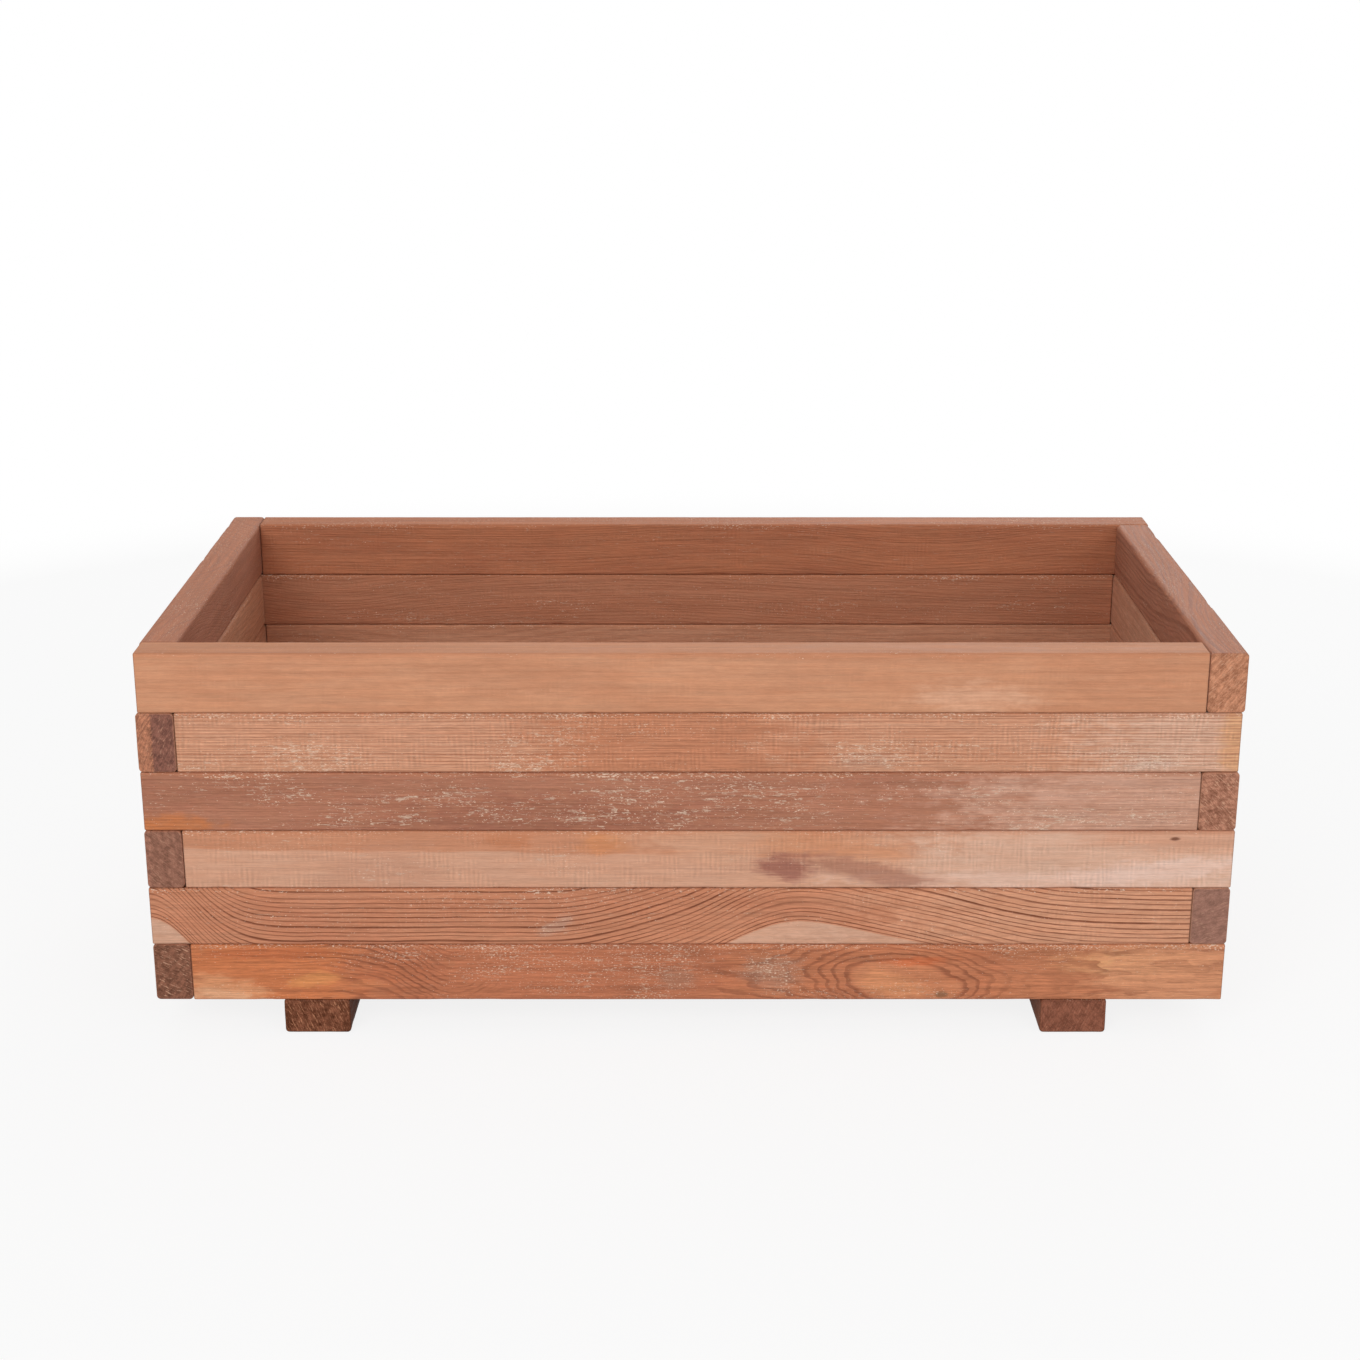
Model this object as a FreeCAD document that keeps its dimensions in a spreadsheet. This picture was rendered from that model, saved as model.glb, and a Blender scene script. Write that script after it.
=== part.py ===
"""A wooden planter box: six courses of planed battens, stacked log-cabin fashion on two cross feet.

Each course is a pinwheel of four battens. Every batten runs past one corner of the box and butts against
its neighbour at the other, and the next course turns the other way round, so the corners lap.
The box is put together upside down: screws go through each course into the course above it, so that no
head shows on the rim. The feet are screwed on from below, and the floor boards lie on the feet, inside the
bottom course, with gaps between them for water.

Millimetres, +Z up. The origin is on the ground below the middle of the box, and the front faces -Y.
A timber is drawn lying along its own +X, with one bottom edge on the X axis, and then turned into place.
"""

import FreeCAD
import Part
import Sketcher
import os
from FreeCAD import Placement, Rotation, Vector

COURSES = 6  # counted from the rim down
FLOOR_BOARDS = 4
STAR_SIDES = 3  # two triangles make the six-pointed drive of a screw head
HALF_TURN = 180
COUNTERSINK_ANGLE = 90

# Driving dimensions, each by its alias in the sheet
SIZES = {
    "box_length": 800,
    "box_depth": 400,
    "batten_width": 28,
    "batten_height": 45.5,
    "batten_arris": 2.2,
    "foot_width": 50,
    "foot_height": 28,
    "left_foot_inset": 120,  # left end of the box to the middle of the left foot
    "right_foot_inset": 111,  # and the same on the right
    "foot_setback": 1.5,  # face of the box to the end of a foot
    "foot_arris": 2.5,
    "floor_board_height": 18,
    "floor_board_arris": 2,
    "floor_gap": 6,  # beside each board, for water
    "floor_end_gap": 4,  # end of a board to the end wall
    "end_ease": 1,  # bevel round a sawn end
    "screw_diameter": 4.5,
    "screw_head_diameter": 8.6,
    "screw_head_sink": 0.5,  # head below the face of the wood
    "screw_tip": 6,
    "star_radius": 1.9,
    "star_depth": 1.6,
    "course_screw_bite": 25,  # length in the course above
    "foot_screw_bite": 32,  # length in the bottom course
    "floor_screw_bite": 20,  # length in a foot
    "corner_stagger": 5,  # screw off the middle of a corner lap
    "butt_screw_inset": 30,  # screw from the butted end of a batten
    "foot_screw_spacing": 24,
    "floor_screw_inset": 20,  # screw from the edge of a board
    "shank_clearance": 0.25,  # round a screw in the piece that it holds
    "seat_clearance": 0.05,  # round a screw's head and in its pilot hole
    "pilot_spare": 1,  # pilot hole beyond the tip
}

# Expressions that more than one piece uses
HALF_LENGTH = "sizes.box_length / 2"
HALF_DEPTH = "sizes.box_depth / 2"
BATTEN = "sizes.batten_width"
LONG_BATTEN = "(sizes.box_length - sizes.batten_width)"
SHORT_BATTEN = "(sizes.box_depth - sizes.batten_width)"
LAP_MIDDLE = "sizes.batten_width / 2"
LAP_NEAR = f"({LAP_MIDDLE} - sizes.corner_stagger)"
LAP_FAR = f"({LAP_MIDDLE} + sizes.corner_stagger)"
FLOOR_DEPTH = "(sizes.box_depth - 2 * sizes.batten_width)"
FLOOR_BOARD = f"(({FLOOR_DEPTH} - {FLOOR_BOARDS + 1} * sizes.floor_gap) / {FLOOR_BOARDS})"
SEAT_DIAMETER = "(sizes.screw_head_diameter + 2 * sizes.screw_head_sink + 2 * sizes.seat_clearance)"
SHANK_HOLE = "(sizes.screw_diameter + 2 * sizes.shank_clearance)"
PILOT_HOLE = "(sizes.screw_diameter + 2 * sizes.seat_clearance)"

# Where each batten of a course starts, and the way it runs. A batten of an odd course starts at the outer
# face of the box and one of an even course at the inner face.
ODD_PLACES = {
    "front": (f"-{HALF_LENGTH}", f"-{HALF_DEPTH}", "+X"),
    "right": (HALF_LENGTH, f"-{HALF_DEPTH}", "+Y"),
    "back": (HALF_LENGTH, HALF_DEPTH, "-X"),
    "left": (f"-{HALF_LENGTH}", HALF_DEPTH, "-Y"),
}
EVEN_PLACES = {
    "front": (HALF_LENGTH, f"-{HALF_DEPTH} + {BATTEN}", "-X"),
    "right": (f"{HALF_LENGTH} - {BATTEN}", HALF_DEPTH, "-Y"),
    "back": (f"-{HALF_LENGTH}", f"{HALF_DEPTH} - {BATTEN}", "+X"),
    "left": (f"-{HALF_LENGTH} + {BATTEN}", f"-{HALF_DEPTH}", "+Y"),
}
HEADINGS = {"+X": Vector(1, 0, 0), "+Y": Vector(0, 1, 0), "-X": Vector(-1, 0, 0), "-Y": Vector(0, -1, 0)}
LONG_SIDES = ("front", "back")

doc = FreeCAD.newDocument("planter_box")
sheet = doc.addObject("Spreadsheet::Sheet", "sizes")
for row, (alias, value) in enumerate(SIZES.items(), 1):
    sheet.set(f"A{row}", alias)
    sheet.set(f"B{row}", str(value))
    sheet.setAlias(f"B{row}", alias)
doc.recompute()


def size(expression):
    """What an expression in the sheet's sizes comes to."""
    return float(sheet.evalExpression(expression))


def attach(sketch, body, role):
    """Lays a sketch on one of its body's own origin planes."""
    plane = next(f for f in body.Origin.OriginFeatures if f.Role == role)
    sketch.AttachmentSupport = (plane, [""])
    sketch.MapMode = "FlatFace"


def bind(sketch, constraint, expression):
    """Adds a dimension to a sketch and ties it to the sheet."""
    index = sketch.addConstraint(constraint)
    sketch.setExpression(f"Constraints[{index}]", expression)


def add_bar(body, width, height, length):
    """A bar with a rectangular section, its first bottom edge on the body's X axis."""
    sketch = body.newObject("Sketcher::SketchObject", "section")
    attach(sketch, body, "YZ_Plane")
    wide, high = size(width), size(height)
    corners = (Vector(0, 0), Vector(wide, 0), Vector(wide, high), Vector(0, high))
    for start, end in zip(corners, corners[1:] + corners[:1]):
        sketch.addGeometry(Part.LineSegment(start, end))
    for line in range(len(corners)):
        following = (line + 1) % len(corners)
        direction = "Vertical" if line % 2 else "Horizontal"
        sketch.addConstraint(Sketcher.Constraint("Coincident", line, 2, following, 1))
        sketch.addConstraint(Sketcher.Constraint(direction, line))
    sketch.addConstraint(Sketcher.Constraint("Coincident", 0, 1, -1, 1))
    bind(sketch, Sketcher.Constraint("DistanceX", 0, 1, 0, 2, wide), width)
    bind(sketch, Sketcher.Constraint("DistanceY", 1, 1, 1, 2, high), height)
    pad = body.newObject("PartDesign::Pad", "bar")
    pad.Profile = sketch
    pad.setExpression("Length", length)
    doc.recompute()
    return pad


def lies_along_x(direction):
    """Whether a direction is nearer to the X axis than to the other two."""
    return abs(direction.x) > max(abs(direction.y), abs(direction.z))


def ease_edges(body, bar, arris):
    """Rounds a bar's long edges and bevels its sawn ends."""
    long_edges = [
        f"Edge{number}"
        for number, edge in enumerate(bar.Shape.Edges, 1)
        if lies_along_x(edge.tangentAt(edge.FirstParameter))
    ]
    fillet = body.newObject("PartDesign::Fillet", "arrises")
    fillet.Base = (bar, long_edges)
    fillet.setExpression("Radius", arris)
    doc.recompute()
    ends = [
        f"Face{number}"
        for number, face in enumerate(fillet.Shape.Faces, 1)
        if lies_along_x(face.normalAt(0, 0))
    ]
    bevel = body.newObject("PartDesign::Chamfer", "eased_ends")
    bevel.Base = (fillet, ends)
    bevel.setExpression("Size", "sizes.end_ease")
    doc.recompute()


def add_holes(body, name, centres, diameter, depth=None, top=None):
    """Screw holes at (along, across) expressions, and the sketch of their centres.

    They go in from the underside, or from the top face at the expression given as top. With a depth they
    are blind pilot holes, and without one they go right through and are countersunk.
    """
    before = body.Shape.Volume
    sketch = body.newObject("Sketcher::SketchObject", f"{name}_centres")
    attach(sketch, body, "XY_Plane")
    if top:
        sketch.setExpression("AttachmentOffset.Base.z", top)
    mark = size("sizes.screw_diameter / 2")
    for along, across in centres:
        circle = sketch.addGeometry(Part.Circle(Vector(mark, mark), Vector(0, 0, 1), mark))
        bind(sketch, Sketcher.Constraint("DistanceX", -1, 1, circle, 3, mark), along)
        bind(sketch, Sketcher.Constraint("DistanceY", -1, 1, circle, 3, mark), across)
        bind(sketch, Sketcher.Constraint("Radius", circle, mark), "sizes.screw_diameter / 2")
    doc.recompute()
    hole = body.newObject("PartDesign::Hole", name)
    hole.Profile = sketch
    hole.Reversed = top is None
    doc.recompute()
    hole.setExpression("Diameter", diameter)
    if depth:
        hole.DepthType = "Dimension"
        hole.DrillPoint = "Flat"
        hole.setExpression("Depth", depth)
    else:
        hole.DepthType = "ThroughAll"
        hole.HoleCutType = "Countersink"
        hole.HoleCutCustomValues = True
        hole.HoleCutCountersinkAngle = COUNTERSINK_ANGLE
        hole.setExpression("HoleCutDiameter", SEAT_DIAMETER)
    doc.recompute()
    if body.Shape.Volume >= before:
        raise RuntimeError(f"{body.Label}: {name} cuts nothing")
    return sketch


def place(piece, x, y, z, heading):
    """Turns a piece about +Z to run along a heading and ties its place to the sheet."""
    up = Vector(0, 0, 1)
    along = HEADINGS[heading]
    piece.Placement = Placement(Vector(), Rotation(along, up.cross(along), up, "XYZ"))
    for axis, expression in zip("xyz", (x, y, z)):
        piece.setExpression(f".Placement.Base.{axis}", expression)


def add_timber(label, width, height, length, arris):
    """A body that holds one eased bar of timber."""
    body = doc.addObject("PartDesign::Body", label)
    body.Label = label
    ease_edges(body, add_bar(body, width, height, length), arris)
    return body


def course_bottom(course):
    """Height of a course's underside."""
    return f"sizes.foot_height + {COURSES - course} * sizes.batten_height"


def foot_middles():
    """The middles of the left and right feet, measured from the left end of the box."""
    return "sizes.left_foot_inset", "(sizes.box_length - sizes.right_foot_inset)"


def make_batten(course, side):
    """One batten with its holes, and the sketch of the screws that hold it, if it has any."""
    odd = course % 2 == 1
    length = LONG_BATTEN if side in LONG_SIDES else SHORT_BATTEN
    label = f"course_{course}_{side}_batten"
    body = add_timber(label, BATTEN, "sizes.batten_height", length, "sizes.batten_arris")
    x, y, heading = (ODD_PLACES if odd else EVEN_PLACES)[side]
    own_lap, lower_lap = (LAP_NEAR, LAP_FAR) if odd else (LAP_FAR, LAP_NEAR)
    screws = None
    if course > 1:
        centres = ((own_lap, LAP_NEAR), (f"{length} - sizes.butt_screw_inset", LAP_MIDDLE))
        screws = add_holes(body, "screw_holes", centres, SHANK_HOLE)
    if course < COURSES:
        centres = ((lower_lap, LAP_FAR), (f"{BATTEN} + sizes.butt_screw_inset", LAP_MIDDLE))
        depth = "sizes.course_screw_bite + sizes.pilot_spare"
        add_holes(body, "pilot_holes", centres, PILOT_HOLE, depth)
    elif side in LONG_SIDES:
        middles = foot_middles()
        if heading == "-X":
            middles = [f"(sizes.box_length - {middle})" for middle in middles]
        centres = [
            (f"{middle} {sign} sizes.foot_screw_spacing / 2", LAP_MIDDLE)
            for middle in middles
            for sign in "-+"
        ]
        depth = "sizes.foot_screw_bite + sizes.pilot_spare"
        add_holes(body, "foot_pilot_holes", centres, PILOT_HOLE, depth)
    place(body, x, y, course_bottom(course), heading)
    return body, screws


def board_edge(number):
    """The front edge of a floor board, measured from the front of the box."""
    return f"(sizes.batten_width + {number} * sizes.floor_gap + {number - 1} * {FLOOR_BOARD})"


def board_screw_lines():
    """The two lines of screws along a floor board, measured from its front edge."""
    return "sizes.floor_screw_inset", f"({FLOOR_BOARD} - sizes.floor_screw_inset)"


def make_foot(side):
    """One cross foot with its holes, and the sketch of the screws that hold it."""
    length = "(sizes.box_depth - 2 * sizes.foot_setback)"
    body = add_timber(f"{side}_foot", "sizes.foot_width", "sizes.foot_height", length, "sizes.foot_arris")
    first_wall = f"({LAP_MIDDLE} - sizes.foot_setback)"
    centres = [
        (wall, f"(sizes.foot_width {sign} sizes.foot_screw_spacing) / 2")
        for wall in (first_wall, f"{length} - {first_wall}")
        for sign in "-+"
    ]
    screws = add_holes(body, "screw_holes", centres, SHANK_HOLE)
    centres = [
        (f"{board_edge(number)} + {line} - sizes.foot_setback", "sizes.foot_width / 2")
        for number in range(1, FLOOR_BOARDS + 1)
        for line in board_screw_lines()
    ]
    depth = "sizes.floor_screw_bite + sizes.pilot_spare"
    add_holes(body, "floor_pilot_holes", centres, PILOT_HOLE, depth, top="sizes.foot_height")
    left, right = foot_middles()
    middle = left if side == "left" else right
    x = f"{middle} - {HALF_LENGTH} + sizes.foot_width / 2"
    place(body, x, f"sizes.foot_setback - {HALF_DEPTH}", "0", "+Y")
    return body, screws


def make_floor_board(number):
    """One floor board with its countersunk holes, and the sketch of its screws."""
    start = "(sizes.batten_width + sizes.floor_end_gap)"
    length = f"sizes.box_length - 2 * {start}"
    label = f"floor_board_{number}"
    body = add_timber(label, FLOOR_BOARD, "sizes.floor_board_height", length, "sizes.floor_board_arris")
    centres = [(f"{middle} - {start}", line) for middle in foot_middles() for line in board_screw_lines()]
    screws = add_holes(body, "screw_holes", centres, SHANK_HOLE, top="sizes.floor_board_height")
    y = f"{board_edge(number)} - {HALF_DEPTH}"
    place(body, f"{start} - {HALF_LENGTH}", y, "sizes.foot_height", "+X")
    return body, screws


def make_screw(name, held, bite):
    """A countersunk screw that points up, with its head's face on the ground plane.

    It is as long as the piece that it holds is thick and as it bites into the next, less the head's sink.
    """
    body = doc.addObject("PartDesign::Body", name)
    sketch = body.newObject("Sketcher::SketchObject", "half_profile")
    attach(sketch, body, "XZ_Plane")
    length = f"{held} + {bite} - sizes.screw_head_sink"
    neck = "(sizes.screw_head_diameter - sizes.screw_diameter) / 2"
    head, shank = size("sizes.screw_head_diameter / 2"), size("sizes.screw_diameter / 2")
    shoulder, tip, end_point = size(neck), size("sizes.screw_tip"), size(length)
    outline = (
        Vector(0, 0),
        Vector(head, 0),
        Vector(shank, shoulder),
        Vector(shank, end_point - tip),
        Vector(0, end_point),
    )
    for start, end in zip(outline, outline[1:] + outline[:1]):
        sketch.addGeometry(Part.LineSegment(start, end))
    for line in range(len(outline)):
        sketch.addConstraint(Sketcher.Constraint("Coincident", line, 2, (line + 1) % len(outline), 1))
    sketch.addConstraint(Sketcher.Constraint("Coincident", 0, 1, -1, 1))
    sketch.addConstraint(Sketcher.Constraint("Horizontal", 0))
    sketch.addConstraint(Sketcher.Constraint("Vertical", 2))
    sketch.addConstraint(Sketcher.Constraint("Vertical", 4))
    bind(sketch, Sketcher.Constraint("DistanceX", 0, 1, 0, 2, head), "sizes.screw_head_diameter / 2")
    bind(sketch, Sketcher.Constraint("DistanceX", -1, 1, 2, 1, shank), "sizes.screw_diameter / 2")
    bind(sketch, Sketcher.Constraint("DistanceY", -1, 1, 2, 1, shoulder), neck)
    bind(sketch, Sketcher.Constraint("DistanceY", 2, 2, 3, 2, tip), "sizes.screw_tip")
    bind(sketch, Sketcher.Constraint("DistanceY", -1, 1, 3, 2, end_point), length)
    turned = body.newObject("PartDesign::Revolution", "turned_blank")
    turned.Profile = sketch
    turned.ReferenceAxis = (sketch, ["V_Axis"])
    turned.Angle = 2 * HALF_TURN
    doc.recompute()
    for degrees in (0, HALF_TURN):
        star = body.newObject("PartDesign::SubtractivePrism", "star_drive")
        star.Polygon = STAR_SIDES
        star.Placement = Placement(Vector(), Rotation(Vector(0, 0, 1), degrees))
        star.setExpression("Circumradius", "sizes.star_radius")
        star.setExpression("Height", "sizes.star_depth")
        doc.recompute()
    return body


def make_screws(label, screw, timbers):
    """A group of screws, one at each centre in the hole sketches of the (timber, sketch) pairs."""
    placed = []
    for timber, sketch in timbers:
        from_above = sketch.AttachmentOffset.Base.z > 0
        upright = Rotation(Vector(1, 0, 0), HALF_TURN if from_above else 0)
        sink = upright.multVec(Vector(0, 0, size("sizes.screw_head_sink")))
        for circle in sketch.Geometry:
            spot = sketch.Placement.multVec(circle.Center) + sink
            solid = screw.Shape.Solids[0].copy()
            solid.Placement = timber.Placement.multiply(Placement(spot, upright))
            placed.append(solid)
    group = doc.addObject("Part::Feature", label)
    group.Label = label
    group.Shape = Part.makeCompound(placed)
    return group


def make_box():
    """Every sub-part of the planter box."""
    parts = []
    course_screw = make_screw("course_screw", "sizes.batten_height", "sizes.course_screw_bite")
    for course in range(1, COURSES + 1):
        battens = [make_batten(course, side) for side in ODD_PLACES]
        doc.recompute()
        parts += [body for body, screws in battens]
        if course > 1:
            parts.append(make_screws(f"course_{course}_screws", course_screw, battens))
    feet = [make_foot(side) for side in ("left", "right")]
    boards = [make_floor_board(number) for number in range(1, FLOOR_BOARDS + 1)]
    doc.recompute()
    parts += [body for body, screws in feet + boards]
    foot_screw = make_screw("foot_screw", "sizes.foot_height", "sizes.foot_screw_bite")
    floor_screw = make_screw("floor_screw", "sizes.floor_board_height", "sizes.floor_screw_bite")
    parts.append(make_screws("foot_screws", foot_screw, feet))
    parts.append(make_screws("floor_screws", floor_screw, boards))
    return parts


def check(parts):
    """Stops the build if anything in the document failed, or a sub-part has no sound shape."""
    failed = [o.Label for o in doc.Objects if {"Invalid", "Error"} & set(o.State)]
    if failed:
        raise RuntimeError(f"failed to build: {failed}")
    for part in parts:
        if part.Shape.isNull() or not part.Shape.isValid():
            raise RuntimeError(f"{part.Label} has no sound shape")


def main():
    parts = make_box()
    doc.recompute()
    check(parts)
    os.makedirs("parts", exist_ok=True)
    for part in parts:
        part.Shape.exportStep(f"parts/{part.Label}.step")


main()
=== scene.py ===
"""Dresses the planter box: worn, oiled softwood timbers with their own grain, screws, studio and camera.

Every timber is modelled lying along its own +X, in metres, and its wood is a solid texture in that frame,
in millimetres: u along the timber, v across it and w up it. Growth rings are drawn round a pith line that
wanders along the timber, so the faces and the end grain of one timber agree.
"""

import math
import random

import bmesh
import bpy
from mathutils import Matrix, Vector, noise


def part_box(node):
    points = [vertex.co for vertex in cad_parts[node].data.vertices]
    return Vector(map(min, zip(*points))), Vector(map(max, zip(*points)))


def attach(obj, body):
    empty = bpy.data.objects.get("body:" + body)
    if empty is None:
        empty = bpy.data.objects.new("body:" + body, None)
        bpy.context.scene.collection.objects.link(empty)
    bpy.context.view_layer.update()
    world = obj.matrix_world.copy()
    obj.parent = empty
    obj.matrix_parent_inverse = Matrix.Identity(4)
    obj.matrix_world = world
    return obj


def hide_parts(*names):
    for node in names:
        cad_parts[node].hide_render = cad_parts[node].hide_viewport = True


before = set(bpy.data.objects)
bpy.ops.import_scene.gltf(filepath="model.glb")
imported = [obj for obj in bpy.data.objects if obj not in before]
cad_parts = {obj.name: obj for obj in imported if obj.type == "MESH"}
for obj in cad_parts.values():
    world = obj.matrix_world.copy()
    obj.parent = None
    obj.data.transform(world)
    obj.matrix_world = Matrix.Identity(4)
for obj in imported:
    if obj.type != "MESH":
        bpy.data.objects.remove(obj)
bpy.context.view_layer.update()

SCREW_NODES = {name: node for name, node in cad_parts.items() if name.endswith("_screws")}
MM = 0.001
INVERSE_E = math.exp(-1)
WHITE = (1.0, 1.0, 1.0, 1.0)


def linear(red, green, blue):
    """A colour as seen on a screen, in 0 to 255, as linear RGBA."""
    def channel(value):
        share = value / 255
        return share / 12.92 if share <= 0.04045 else ((share + 0.055) / 1.055) ** 2.4
    return channel(red), channel(green), channel(blue), 1.0


def add_object(name, data):
    item = bpy.data.objects.new(name, data)
    bpy.context.scene.collection.objects.link(item)
    return item


class Value:
    """A socket in a node tree that takes part in sums."""

    def __init__(self, tree, socket):
        self.tree = tree
        self.socket = socket

    def __add__(self, other):
        return self.tree.math("ADD", self, other)

    __radd__ = __add__

    def __sub__(self, other):
        return self.tree.math("SUBTRACT", self, other)

    def __rsub__(self, other):
        return self.tree.math("SUBTRACT", other, self)

    def __mul__(self, other):
        return self.tree.math("MULTIPLY", self, other)

    __rmul__ = __mul__

    def __truediv__(self, other):
        return self.tree.math("DIVIDE", self, other)

    def __pow__(self, other):
        return self.tree.math("POWER", self, other)


class Tree:
    """Builds nodes in a shader tree or group."""

    def __init__(self, tree):
        self.tree = tree

    def put(self, socket, value):
        """Links a socket to a value, or sets it to a constant."""
        if isinstance(value, Value):
            self.tree.links.new(value.socket, socket)
        else:
            socket.default_value = value

    def node(self, kind, inputs=(), **settings):
        """A new node, with its inputs by name or number."""
        node = self.tree.nodes.new(kind)
        for name, setting in settings.items():
            setattr(node, name, setting)
        for name, value in dict(inputs).items():
            self.put(node.inputs[name], value)
        return node

    def out(self, node, name=0):
        return Value(self, node.outputs[name])

    def math(self, operation, *values):
        return self.out(self.node("ShaderNodeMath", dict(enumerate(values)), operation=operation))

    def step(self, value, low, high):
        """Smoothly from 0 where value is low to 1 where it is high."""
        inputs = {"Value": value, "From Min": low, "From Max": high}
        return self.out(self.node("ShaderNodeMapRange", inputs, interpolation_type="SMOOTHSTEP"))

    def around(self, value, level, softness):
        """A step round a level, over so much on each side of it."""
        return self.step(value, level - softness, level + softness)

    def bell(self, value, middle, spread):
        """1 at the middle, and 1/e at a spread from it."""
        away = (value - middle) / spread
        return self.math("POWER", INVERSE_E, away * away)

    def combine(self, x, y, z):
        return self.out(self.node("ShaderNodeCombineXYZ", {"X": x, "Y": y, "Z": z}))

    def split(self, vector):
        node = self.node("ShaderNodeSeparateXYZ", {"Vector": vector})
        return [self.out(node, axis) for axis in "XYZ"]

    def noise(self, point, along, across, detail, roughness, shift=0.0):
        """Noise whose features are so long along the timber and so wide across it, in millimetres."""
        u, v, w = point
        place = self.combine(u / along + shift, v / across + shift, w / across)
        inputs = {"Vector": place, "Scale": 1.0, "Detail": detail, "Roughness": roughness}
        return self.out(self.node("ShaderNodeTexNoise", inputs), "Fac")

    def mix(self, share, first, second, blend="MIX"):
        """The first colour with a share of the second over it."""
        inputs = {0: share, 6: first, 7: second}
        return self.out(self.node("ShaderNodeMix", inputs, data_type="RGBA", blend_type=blend), 2)

    def scale(self, vector, factor):
        inputs = {0: vector, "Scale": factor}
        return self.out(self.node("ShaderNodeVectorMath", inputs, operation="SCALE"))

    def place(self):
        return self.out(self.node("ShaderNodeTexCoord"), "Object")

    def seen(self):
        """1 for camera, glossy and transmission rays, which all see a white studio."""
        path = self.node("ShaderNodeLightPath")
        rays = ("Is Camera Ray", "Is Glossy Ray", "Is Transmission Ray")
        camera, glossy, through = (self.out(path, name) for name in rays)
        return self.math("MINIMUM", camera + glossy + through, 1.0)

    def surface(self, shader, output="ShaderNodeOutputMaterial"):
        """Ends the tree with a shader as the surface."""
        self.node(output, {"Surface": self.out(shader)})


def new_material(name):
    """An empty material, and the tree to build it in."""
    material = bpy.data.materials.new(name)
    material.use_nodes = True
    material.node_tree.nodes.clear()
    return material, Tree(material.node_tree)


# How a timber's rings lie, in millimetres. The pith runs at "across" and "height" in the timber's own
# section, rises by "height_drift" for each millimetre along it, and is pushed aside in up to three places
# and on a plateau. "heart" is the radius of the pale wood inside the rings.
GRAIN = dict(
    seed=0.0, across=-60.0, height=-60.0, height_drift=0.0,
    place_1=0.0, spread_1=100.0, rise_1=0.0, depth_1=0.0,
    place_2=0.0, spread_2=100.0, rise_2=0.0, depth_2=0.0,
    place_3=0.0, spread_3=100.0, rise_3=0.0, depth_3=0.0,
    plateau=400.0, plateau_spread=60.0, plateau_rise=0.0,
    spacing=4.0, waver=4.0, ripple=1.5, late_share=0.42, fray=0.9, fade=0.4,
    fleck_size=1.0, heart=0.0, end_turn=0.8,
)
SWELLS = "123"

# Noise fields: length along the timber, width across it, detail, roughness, a shift that sets each apart,
# and for some the levels between which they go from 0 to 1
RING_FIELDS = dict(
    wander=(95.0, 24.0, 2.0, 0.5, 0.0),
    ripple=(36.0, 10.0, 2.0, 0.5, 41.0),
    jitter=(14.0, 2.4, 3.0, 0.6, 3.0),
    pale=(60.0, 9.0, 2.0, 0.6, 59.0, 0.42, 0.6),
    saw_sway=(13.0, 45.0, 3.0, 0.6, 29.0),
    saw_depth=(7.0, 16.0, 2.0, 0.6, 53.0, 0.38, 0.66),
    fleck=(8.5, 2.0, 4.0, 0.7, 23.0),
)
FACE_FIELDS = dict(
    fibre=(34.0, 0.8, 3.0, 0.62, 7.0, 0.28, 0.72),
    fine=(7.0, 0.45, 2.0, 0.6, 11.0),
    streak=(170.0, 3.6, 2.0, 0.55, 13.0, 0.3, 0.7),
    cloud=(120.0, 30.0, 2.0, 0.5, 17.0, 0.36, 0.64),
    patch=(50.0, 13.0, 2.0, 0.55, 19.0),
    dash=(9.0, 0.8, 2.0, 0.55, 27.0),
    grit=(2.1, 0.8, 2.0, 0.6, 5.0),
    pore=(0.9, 0.9, 3.0, 0.65, 31.0),
    mottle=(11.0, 5.0, 2.0, 0.6, 37.0, 0.3, 0.7),
    hue=(44.0, 7.0, 2.0, 0.6, 43.0, 0.3, 0.7),
    line=(30.0, 0.75, 2.0, 0.6, 47.0, 0.56, 0.72),
)
FIELDS = {**RING_FIELDS, **FACE_FIELDS}
GRAIN_OUTPUTS = ("late", "heart", "fleck", "saw", "stroke", *FACE_FIELDS)
# Good and bad years: over how many ring spacings they come and go, and how far they push the rings
YEAR_SPAN = 3.1
YEAR_SWING = 1.4
# The share of the late wood that is fully dark, and the share of a year at which it ends
LATE_FULL = 0.4
LATE_STOP = 0.93
# The border of the heart, inside and outside its radius
HEART_INSIDE = 1.0
HEART_OUTSIDE = 0.5
# Pitch of the saw marks along the timber, and how far they stray, in radians
SAW_PITCH = 3.7
SAW_STRAY = 14.0
# Strokes on the end grain: length, width and depth
STROKE_SIZE = (5.5, 1.0, 9.0)
STROKE_DETAIL = 1.5
STROKE_BEND = 0.9


def find_pith(tree, get, u):
    """Where the pith lies in the section at a place along the timber."""
    across = get["across"]
    height = get["height"] + get["height_drift"] * u
    for number in SWELLS:
        swell = tree.bell(u, get[f"place_{number}"], get[f"spread_{number}"])
        across = across + swell * get[f"depth_{number}"]
        height = height + swell * get[f"rise_{number}"]
    plateau = tree.around(u, get["plateau"], get["plateau_spread"])
    return across, height + plateau * get["plateau_rise"]


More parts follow.
